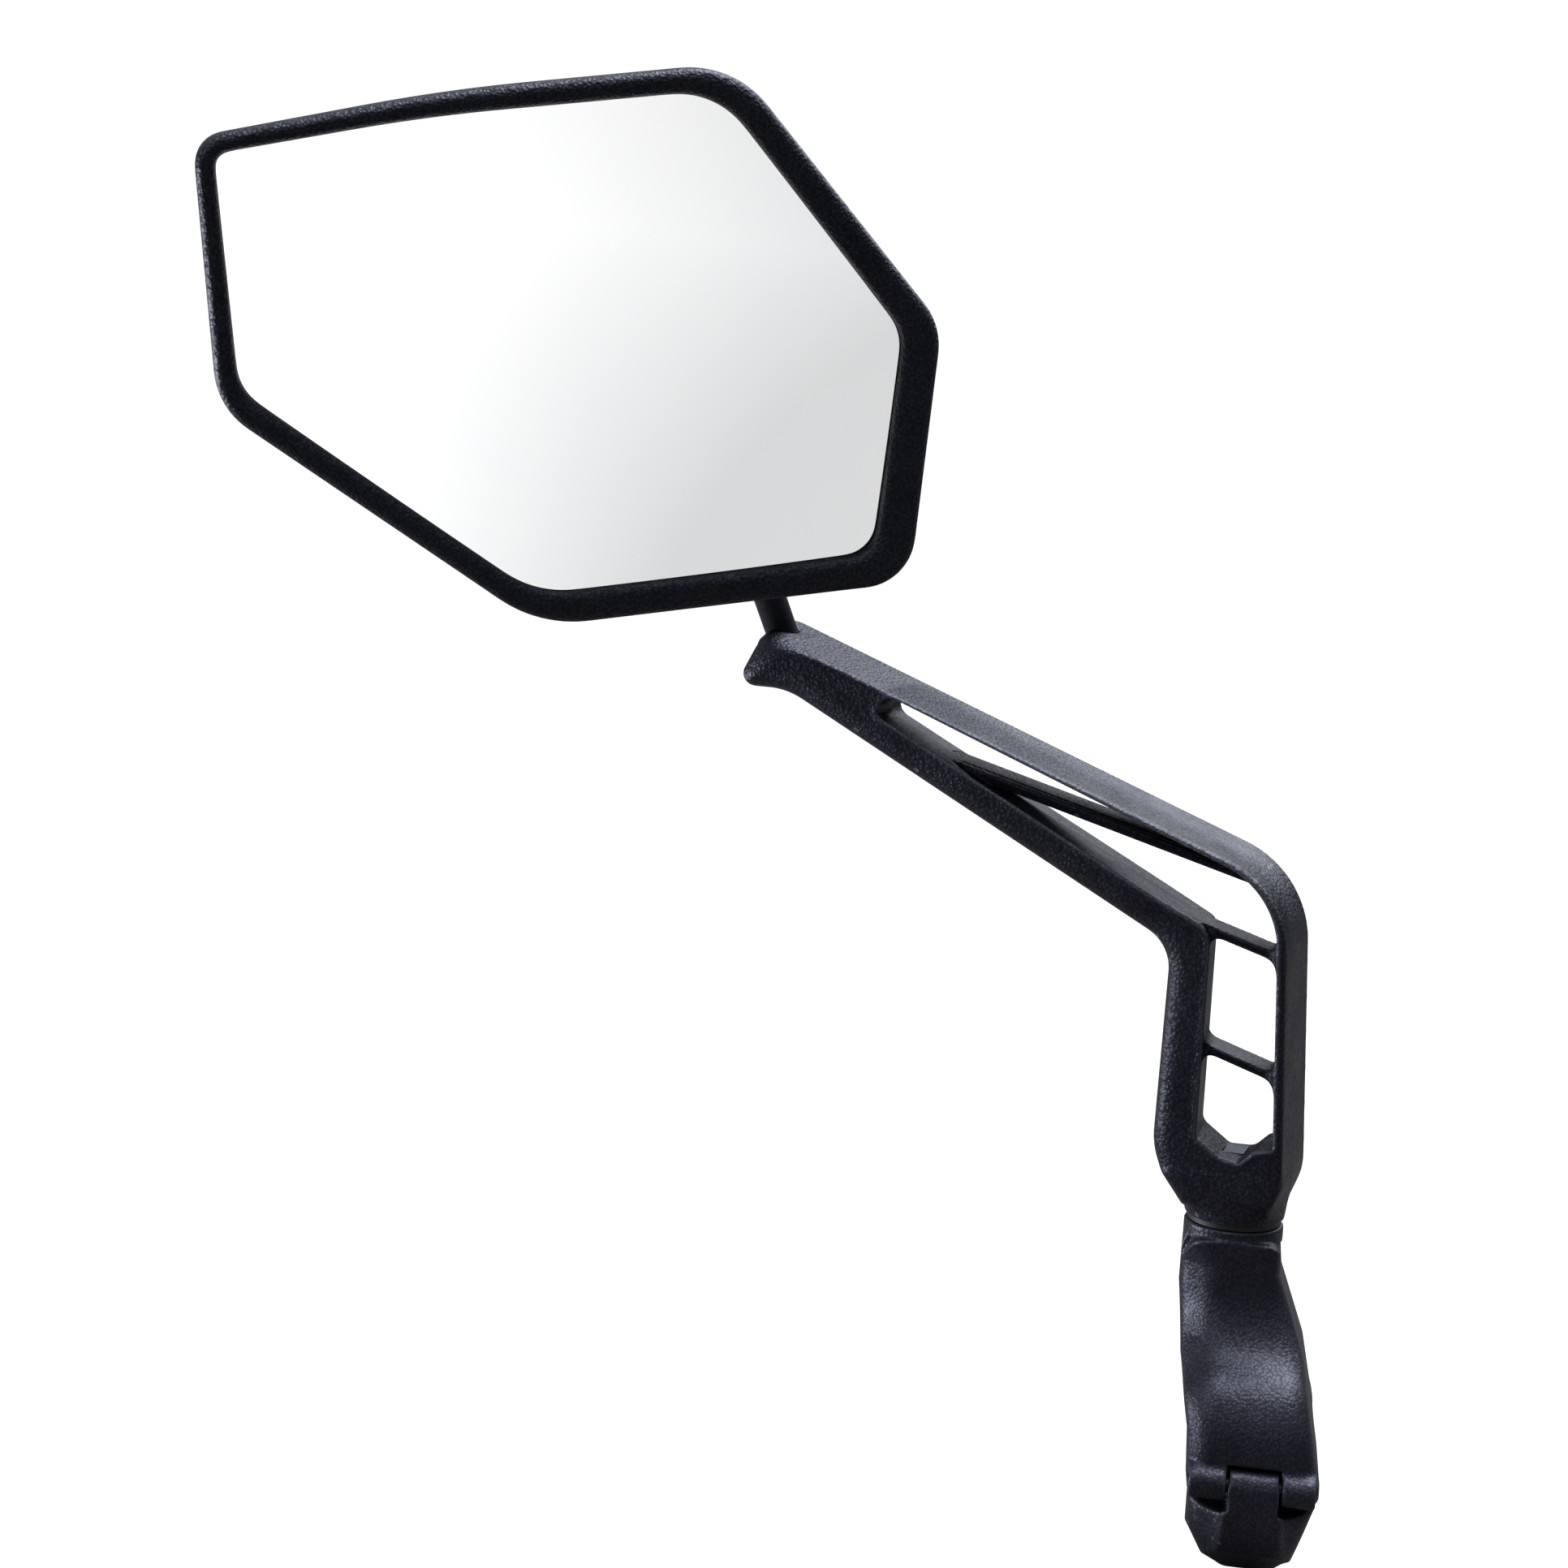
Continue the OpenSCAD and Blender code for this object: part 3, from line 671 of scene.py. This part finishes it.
def build_lens(centre, low):
    edge = hull(level_points("mirror_glass", GLASS_FRONT))
    edge = blur(resample(edge, LENS_COLUMNS), 1.2)
    middle = edge.mean(0)
    rows = []
    for s in list(np.linspace(0.04, 0.96, 24)) + [0.99, 1.0]:
        p = middle + (edge - middle) * s
        rows.append(np.column_stack([p, lens_height(p, centre, low) - LENS_SINK]))
    rows.append(level(edge, GLASS_BACK))

    # both faces close on a point in the middle
    top = np.append(middle, lens_height(middle, centre, low) - LENS_SINK)
    verts = np.vstack(rows + [top, np.append(middle, GLASS_BACK)])
    faces = ring_faces(len(rows), LENS_COLUMNS)
    n = len(rows) * LENS_COLUMNS
    last = n - LENS_COLUMNS
    for c in range(LENS_COLUMNS):
        d = (c + 1) % LENS_COLUMNS
        faces.append((n, d, c))
        faces.append((n + 1, last + c, last + d))
    lens = add_object("convex_lens", to_world(verts, HEAD), faces)
    mod = lens.modifiers.new("edge", "EDGE_SPLIT")
    mod.split_angle = math.radians(40)
    piece(lens, "mirror_glass")


def build_head():
    outer, inner = rim_loops(RIM_COLUMNS)
    centre = inner.mean(0)
    low = ((inner - centre) ** 2).sum(1).min()
    build_rim(outer, inner, centre, low)
    build_lens(centre, low)


build_head()

# ---------------------------------------------------------------- arm

# Corners of the arm in its own plane, in mm from the swivel axis and the seam, each with the
# radius it is rounded to. The arm is what the lower and upper outlines share, less the opening.
ARM_LOWER = [(-8.4, 2.6, 0), (14, 2.6, 0), (14, 71, 0), (-86.5, 106, 0), (-88.6, 101, 0),
             (-95.9, 86.4, 2.4), (-86, 86.3, 14), (-13.7, 47.9, 7.5), (-14.4, 10.4, 14)]
ARM_UPPER = [(-110, -4, 0), (6.2, -4, 0), (10.5, 8.5, 13), (7.5, 61, 19), (-110, 105.9, 0)]
ARM_OPENING = [(-69.0, 88.0, 2.3), (-67.6, 83.1, 2.2), (-7.2, 51.5, 3.5), (-7.2, 15, 1.2),
               (-2.6, 11.7, 1), (1.2, 11.7, 1.5), (3.7, 14.2, 2), (6.9, 14.9, 0.5),
               (4.5, 59.3, 15.5)]
# Cross ribs: both ends, and the radius of the fillet above their left end
CROSS_RIBS = [((-9, 52.1), (6.2, 47.5), 1.0), ((-9, 31.8), (6.8, 26.8), 2.0)]
RIB_T, RIB_RECESS, RIB_FILLET = 1.5, 1.4, 2.4
STRUT = (-57, 76.2), (0, 60.6)
STRUT_T, STRUT_RECESS = 1.7, 2.8
# A faint lip round the opening's front edge: height, distance from the edge, and width
LIP_RAISE, LIP_IN, LIP_WIDTH = 0.25, 0.45, 0.4
# The stem's socket lies on the line from the stem's root to the ball's middle
STEM_ROOT = np.array([-89.8, 0, 97])
BALL = np.array([-94.5, -23.7, 128.5])
SOCKET_R = 4.8
# Stem, its screw and the screw's head: radius, start and stop from the root
STEM_HOLES = [(2.95, -7.5, 40), (1.45, -40, 0), (3.5, -25, -10)]
COLLAR_R = 8.65              # of the arm's round foot and of the clamp's collar under it
FACE_LEAN = 1.7              # how far the upper face drops from back to front


def paint_opening_shade(arm, half):
    """Marks the walls of the openings, where the plastic paints shade: duller and darker than the
    outside.
    """
    x, y, z = (coords(arm.data, ARM) / MM).T
    gap = outline_field(x, z, rounded(ARM_OPENING))
    # painted shade on the opening's walls, fading out towards the front face
    wall_shade = np.clip((1.9 - gap) / 0.4, 0, 1) * np.clip((y + half - 0.7) / 0.8, 0, 1)
    mark_painted_shade(arm, 0.62 * wall_shade)


def arm_opening(x, y, z, half):
    """The arm's opening before and after its ribs are left standing in it."""
    hole = outline_field(x, z, rounded(ARM_OPENING))
    # the long post is wider at the front, and the opening widens behind the middle
    low_left = np.clip((56 - z) / 8, 0, 1) * np.clip((1 - x) / 4, 0, 1)
    hole = hole + low_left * np.clip(-y / half, -1, 1) * 0.9
    hole = hole - (1 - low_left) * np.clip((y + 1) / 4, 0, 1) * 0.7

    # ribs stand behind the front face and meet the legs in fillets
    opening, front = hole, -half - y
    for a, b, above in CROSS_RIBS:
        a, b = np.array(a), np.array(b)
        a, b = a - 0.5 * (b - a), b + 0.5 * (b - a)
        rib = smax(strip(x, z, a, b, RIB_T), front + RIB_RECESS, 0.4)
        rib = smax(rib, y - 0.5, 0.4)
        over = (z > a[1] + (x - a[0]) * (b[1] - a[1]) / (b[0] - a[0])) & (x < 0)
        opening = smax(opening, -rib, np.where(over, above, RIB_FILLET))
    strut = smax(smax(strip(x, z, *STRUT, STRUT_T), front + STRUT_RECESS, 0.4), y - 5, 0.4)
    groove = np.maximum(np.abs(y + half - 5.2) - 0.28, -strip(x, z, *STRUT, 0.8))
    return hole, smax(opening, -np.maximum(strut, -groove), 0.3)


def arm_foot(x, y, z, half):
    """Block at the foot of the arm, which turns from round at the seam to square."""
    square = np.clip((z - 2) / 6, 0, 1)
    box = smax(smax(-10.9 - x, x - 8.3, 1), np.abs(y) - half + 0.9, 3)
    foot = (1 - square) * (np.sqrt(x * x + y * y) - COLLAR_R) + square * box
    return smax(smax(foot, z - 8.0, 0.5), 0.4 - z, 0.5)


def build_arm():
    half = float(-coords(NODES["arm"].data, ARM)[:, 1].min() / MM)
    step = 0.36
    low = (-98, -half - 1, 0)
    x, y, z = field_grid(low, (12.5, 14.5, 105.5), step)
    lower = outline_field(x, z, rounded(ARM_LOWER))
    upper = outline_field(x, z, rounded(ARM_UPPER)) + FACE_LEAN * (half + 1 - y) / (2 * half + 2)

    # the boss falls away to the left of its crease
    bevel = line_field(x, z, (-83.4, 103.6), (-91.9, 88))
    bevel = (bevel - 2.0 * (y + half)) * 0.45
    upper = smax(upper, bevel, 6.0)

    hole, opening = arm_opening(x, y, z, half)
    solid = smax(smax(lower, -half - y, 4.2), y - half, 2.4)
    solid = smax(smax(solid, upper, 1.0), -opening, 0.45)
    lip = np.exp(-((hole - LIP_IN) / LIP_WIDTH) ** 2) * np.clip((0.8 - y - half) / 0.8, 0, 1)
    solid = smin(solid - LIP_RAISE * lip, arm_foot(x, y, z, half), 2.4)

    stem = BALL - STEM_ROOT
    socket = smax(rod(x, y, z, STEM_ROOT, stem, SOCKET_R, -10, 4),
                  smax(1 - half - y, z - 94, 1), 0.8)
    solid = smin(solid, socket, 2.0)
    solid = drill(
        solid,
        *(rod(x, y, z, STEM_ROOT, stem, *size) for size in STEM_HOLES),
        brick(x, y, z, (-4, -4, 2.6), (4, 4, 8)),            # pivot insert
        brick(x, y, z, (-2.6, -2.1, 7), (1.2, 4, 20)),       # its square end
        rod(x, y, z, (0, 0, 0), (0, 0, 1), 2.1, -1, 3))      # pivot screw
    arm = skin("truss_arm", solid, low, step, ARM)
    paint_opening_shade(arm, half)
    piece(arm, "arm")


build_arm()

# ---------------------------------------------------------------- clamp

# In mm, with the bar along x through the origin
RING_R, BORE_R, RING_HALF = 17.4, 12.6, 11.0
BORE_EDGE = 0.5
HINGE = (-17.8, 3.0)         # y and z of the hinge pin
KNUCKLE_R, KNUCKLE_HALF, SLOT_HALF = 2.8, 4.2, 4.45
PIN_R = 1.25
BOLT = (0, 21.7, 0)          # on the clamp screw's axis
BOLT_HOLE_R, EAR_R, NUT_HALF = 2.5, 5.8, 4.0
SWIVEL = (-6.3, 8.0)         # x and y of the arm's axis
STALK_TOP = 39.7
COLLAR_TOP = 41.6
UP = (0, 0, 1)
PARTING = 0.75               # height of the body's lower faces: plus in front, minus behind
# The stalk's front is a bulge round a point of y and z, met by a hollow fillet above it
BULGE_R, BULGE, FILLET_R, STALK_FRONT = 14.1, (-4.1, 7.0), 14.0, -1
# The flat along the stalk's left edge: how deep it cuts at each height
FACET_Z, FACET_CUT = [0, 7, 15, 23, 35, 39], [0.7, 1.1, 2.1, 3.4, 3.4, 1.6]
FACET_NORMAL = (0.629, 0.777)


def across(x, y, z, centre, r, x0, x1):
    """Round bar along x through (y, z) = centre."""
    return rod(x, y, z, (0, centre[0], centre[1]), (1, 0, 0), r, x0, x1)


def bolt_ear(x, y, z, z0, z1):
    """Lug behind the bar that the clamp screw goes through."""
    body = brick(x, y, z, (-EAR_R, 13.6, z0), (EAR_R, BOLT[1], z1))
    return smax(np.minimum(body, rod(x, y, z, BOLT, UP, EAR_R, z0, z1)), z - z1, 0.8)


def bolt_hole(x, y, z):
    return rod(x, y, z, BOLT, UP, BOLT_HOLE_R, -30, 30)


def stalk_side():
    """Side outline of the stalk: hollow at the top, then the bulge over the ring, then its back."""
    by, bz = BULGE
    fy = STALK_FRONT - FILLET_R
    over = math.sqrt((BULGE_R + FILLET_R) ** 2 - (fy - by) ** 2)
    end = math.atan2(-over, by - fy)
    side = []
    for k in range(17):
        a = end * k / 16
        side.append((fy + FILLET_R * math.cos(a), bz + over + FILLET_R * math.sin(a)))
    for k in range(1, 25):
        a = math.pi + end + (math.radians(20) - end) * k / 24
        side.append((by + BULGE_R * math.cos(a), bz + BULGE_R * math.sin(a)))
    side += [(-13.6, 0.75), (0, 13.6), (17.2, 5.2), (17.2, STALK_TOP), (STALK_FRONT, STALK_TOP)]
    return np.array(side)


def build_stalk(step):
    """Upper half of the clamp, with the stalk that flows out of the ring."""
    low = (-17, -23, -2)
    x, y, z = field_grid(low, (13, 29.5, 43.5), step)
    rho = np.sqrt(y * y + z * z)

    left, right = SWIVEL[0] - COLLAR_R, SWIVEL[0] + COLLAR_R
    left_side = np.array([(-RING_HALF, 1), (-11.5, 10), (left + 1.1, 19.6), (left - 0.1, 31),
                          (left, 44)])
    right_side = np.array([(-RING_HALF, -20), (RING_HALF, -20), (RING_HALF, 1), (9.8, 9),
                           (7.3, 20.5), (4.5, 28), (right - 0.1, 34), (right, 44)])
    side_d = outline_field(y, z, stalk_side()[::-1])
    face_d = outline_field(x, z, np.vstack([right_side, left_side[::-1]]))
    left_edge = np.interp(z, left_side[:, 1], left_side[:, 0])
    facet = FACET_NORMAL[0] * (left_edge - x) + FACET_NORMAL[1] * side_d
    facet = facet + np.interp(z, FACET_Z, FACET_CUT)
    stalk = smax(smax(side_d, face_d, 3.6), np.where(y < 4, facet, -9), 1.6)
    ring = smax(smax(rho - RING_R, face_d, 3.6), -1.4 - z, 0.5)
    solid = smin(stalk, ring, 1.2)

    collar = rod(x, y, z, (*SWIVEL, 0), UP, COLLAR_R, 30, COLLAR_TOP)
    collar = smax(smax(collar, z - COLLAR_TOP, 0.7), (STALK_TOP - 1.0) - z, 0.1)
    solid = smin(solid, collar, 0.7)
    solid = smin(solid, bolt_ear(x, y, z, -PARTING, 7.2), 1.6)
    for x0, x1 in ((-RING_HALF, -SLOT_HALF), (SLOT_HALF, 10.4)):
        lug = across(x, y, z, HINGE, KNUCKLE_R, x0, x1)
        solid = smin(solid, smax(lug, np.maximum(x0 - x, x - x1), 0.7), 1.2)

    solid = smax(solid, BORE_R - rho, BORE_EDGE)
    knuckle_room = across(x, y, z, HINGE, 3.4, -SLOT_HALF, SLOT_HALF)
    solid = smax(solid, -knuckle_room, 0.4)
    nut = [np.abs(x * 0.5 + turned * 0.866) for turned in (y - BOLT[1], BOLT[1] - y)]
    nut = np.maximum(np.maximum(nut[0], nut[1]), np.abs(y - BOLT[1])) - NUT_HALF
    solid = drill(
        solid,
        brick(x, y, z, (-SLOT_HALF, -28, -10), (SLOT_HALF, -15, 3)),
        across(x, y, z, HINGE, PIN_R, -30, 30),
        rod(x, y, z, (*SWIVEL, 0), UP, 2.1, 20, 50),         # pivot screw
        rod(x, y, z, (*SWIVEL, 0), UP, 3.9, 0, 23),          # its head and washers
        bolt_hole(x, y, z),
        np.maximum(nut, 1 - z))
    solid = smax(solid, np.where(y < 0, PARTING, -PARTING) - z, 0.5)
    piece(skin("clamp_stalk", solid, low, step, Matrix.Identity(4)), "clamp_body")


def build_jaw(step):
    """Lower half of the clamp, with the knuckle between the stalk's two lugs."""
    low = (-12, -22, -18.5)
    x, y, z = field_grid(low, (12, 29.5, 7.5), step)
    rho = np.sqrt(y * y + z * z)
    face = np.array([(-RING_HALF, 10), (-RING_HALF, -6.2), (-5.9, -14.4), (-4.6, -17.6),
                     (4.6, -17.6), (6, -12.2), (10.4, -1), (10.4, 10)])
    face_d = outline_field(x, z, face)
    edge = (np.abs(x) - RING_HALF) * 0.62 + (rho - RING_R) * 0.78 + 1.9
    jaw = smax(smax(rho - RING_R, face_d, 2.2), edge, 1.6)
    jaw = smax(jaw, z - np.where(y < 0, 0.25, -1.25), 0.5)
    link = smax(brick(x, y, z, (-KNUCKLE_HALF, -20.6, -8), (KNUCKLE_HALF, -15.6, 3)),
                across(x, y, z, (HINGE[0] + 8, 0), 10.4, -30, 30), 0.5)
    jaw = smin(jaw, link, 7.0)
    for x0, x1 in ((-30, -KNUCKLE_HALF), (KNUCKLE_HALF, 30)):
        jaw = smax(jaw, -across(x, y, z, HINGE, 4.4, x0, x1), 0.6)
    knuckle = across(x, y, z, HINGE, KNUCKLE_R, -KNUCKLE_HALF, KNUCKLE_HALF)
    jaw = smin(jaw, smax(knuckle, np.abs(x) - KNUCKLE_HALF, 0.6), 0.6)
    jaw = smin(jaw, bolt_ear(x, y, z, -9, -1.25), 1.6)
    jaw = smax(smax(jaw, BORE_R - rho, BORE_EDGE), z - 5.75, 0.3)
    jaw = drill(jaw, across(x, y, z, HINGE, PIN_R + 0.05, -30, 30), bolt_hole(x, y, z))
    piece(skin("hinged_jaw", jaw, low, step, Matrix.Identity(4)), "clamp_jaw")


clamp_step = 0.3
build_stalk(clamp_step)
build_jaw(clamp_step)

# ---------------------------------------------------------------- back of the head

for node, name, voxel, rounds in (("rear_shell", "rear_cover", 0.5, 12),
                                  ("ball_retainer", "socket_cap", 0.3, 8)):
    softened = remesh(node, name, voxel)
    relax(softened, rounds)
    piece(softened, node)

# CAD nodes that stay as they are get the material of their slot
for node, obj in NODES.items():
    if not obj.hide_render:
        dress(obj, SLOT_OF[node])

# ---------------------------------------------------------------- stage

LENS_MM, SENSOR_MM = 61.49, 36
CAMERA_TURN, CAMERA_DROP, CAMERA_ROLL = (math.radians(a) for a in (9.5, 7.8, 3))
# From the swivel's seam to the camera, along its own axes
CAMERA_LEFT, CAMERA_ABOVE, CAMERA_BACK = 78.99 * MM, 75.78 * MM, 470.1 * MM


def build_camera():
    """The camera looks a little to the left and slightly down, and is rolled a little."""
    turn, drop, roll = CAMERA_TURN, CAMERA_DROP, CAMERA_ROLL
    back = Vector((math.sin(turn) * math.cos(drop), -math.cos(turn) * math.cos(drop),
                   math.sin(drop)))
    flat = Vector((math.cos(turn), math.sin(turn), 0))
    right = flat * math.cos(roll) + back.cross(flat) * math.sin(roll)
    up = back.cross(right)
    seam = Vector(JOINTS["arm_swivel"]["pos_m"])
    eye = seam - right * CAMERA_LEFT + up * CAMERA_ABOVE + back * CAMERA_BACK
    cam = bpy.data.cameras.new("camera")
    cam.sensor_width, cam.lens, cam.clip_start = SENSOR_MM, LENS_MM, 0.01
    obj = bpy.data.objects.new("camera", cam)
    obj.matrix_world = basis(eye, right, up, back)
    bpy.context.scene.collection.objects.link(obj)
    bpy.context.scene.camera = obj


def area_light(name, place, target, size, power, colour):
    """Soft light of a size in metres, which the camera doesn't see."""
    light = bpy.data.lights.new(name, "AREA")
    light.shape = "RECTANGLE"
    light.size, light.size_y = size
    light.energy = power
    light.color = colour
    obj = bpy.data.objects.new(name, light)
    obj.location = place
    obj.rotation_euler = (Vector(target) - Vector(place)).to_track_quat("-Z", "Y").to_euler()
    obj.visible_camera = False
    bpy.context.scene.collection.objects.link(obj)


def build_floor():
    """A floor that looks pale to the camera and in the mirror, but throws little light upwards."""
    z = CAD_BOX[0][2] - 0.02 * MM
    half = 30.0
    corners = [(-half, -half, z), (half, -half, z), (half, half, z), (-half, half, z)]
    floor = add_object("floor", corners, [(0, 1, 2, 3)], smooth=False)

    # a broad soft shade lies on the floor in front and to the right, where the mirror sees it
    n = material("pale_floor")
    split = n.add("SeparateXYZ")
    n.link(n.place, split.inputs[0])
    east = n.math("SUBTRACT", split.outputs[0], -0.12)
    front = n.math("SUBTRACT", -0.02, split.outputs[1])
    away = n.math("ADD", n.math("MULTIPLY", east, east), n.math("MULTIPLY", front, front))
    away = n.math("SQRT", away)
    near = n.remap(away, 0.3, 0.9, 1, 0)
    bearing = n.math("ADD", n.math("ARCTAN2", east, front),
                     n.math("MULTIPLY", near, math.radians(13)))
    wedge = n.math("MULTIPLY", n.remap(bearing, math.radians(22), math.radians(52), 0, 1),
                   n.remap(bearing, math.radians(95), math.radians(150), 1, 0))
    shade = n.math("MULTIPLY", wedge, n.math("ADD", 0.46, n.math("MULTIPLY", near, 0.07)))
    shade = n.math("MULTIPLY", shade, n.remap(away, 0.2, 0.3, 0, 1))
    grain = n.remap(n.noise(60, 4), 0.3, 0.7, 0.995, 1.0)
    tone = n.math("MULTIPLY", n.math("SUBTRACT", 1.0, shade), grain)
    path = n.add("LightPath")
    shown = n.math("MAXIMUM", path.outputs["Is Camera Ray"], path.outputs["Is Singular Ray"])
    glow = n.math("MULTIPLY", shown, n.math("MULTIPLY", tone, 1.03))
    floor.data.materials.append(n.finish(
        Base_Color=(0.14, 0.134, 0.125, 1), Roughness=0.9, Specular_IOR_Level=0.0,
        Emission_Color=(1, 1, 1, 1), Emission_Strength=glow))


def build_world():
    """Plain white behind the object, and a dim sky that is lighter towards the top."""
    n = Nodes(bpy.data.worlds.new("studio"), "Background", "Generated")
    split = n.add("SeparateXYZ")
    n.link(n.place, split.inputs[0])
    sky = n.remap(split.outputs[2], 0.15, 0.5, 0.06, 0.45, "SMOOTHSTEP")
    shown = n.add("LightPath").outputs["Is Camera Ray"]
    bpy.context.scene.world = n.finish(Strength=n.remap(shown, 0, 1, sky, 1.05),
                                       Color=n.mix(shown, (0.86, 0.9, 1, 1), (1, 1, 1, 1)))


def build_lights():
    middle, foot = (-0.05, 0, 0.1), (0, 0, 0.03)
    cool = (0.88, 0.92, 1)
    area_light("top", (0.12, 0.25, 1.15), middle, (0.6, 1.0), 26, cool)
    area_light("rear", (0.45, 1.0, 0.72), middle, (0.9, 0.5), 5.5, cool)
    area_light("key", (-0.6, -0.6, 0.9), middle, (0.5, 0.5), 2.5, cool)
    area_light("left", (-0.7, -0.03, 0.03), foot, (0.3, 0.09), 4, cool)


build_camera()
build_floor()
build_world()
build_lights()
bpy.context.scene.view_settings.view_transform = "Standard"
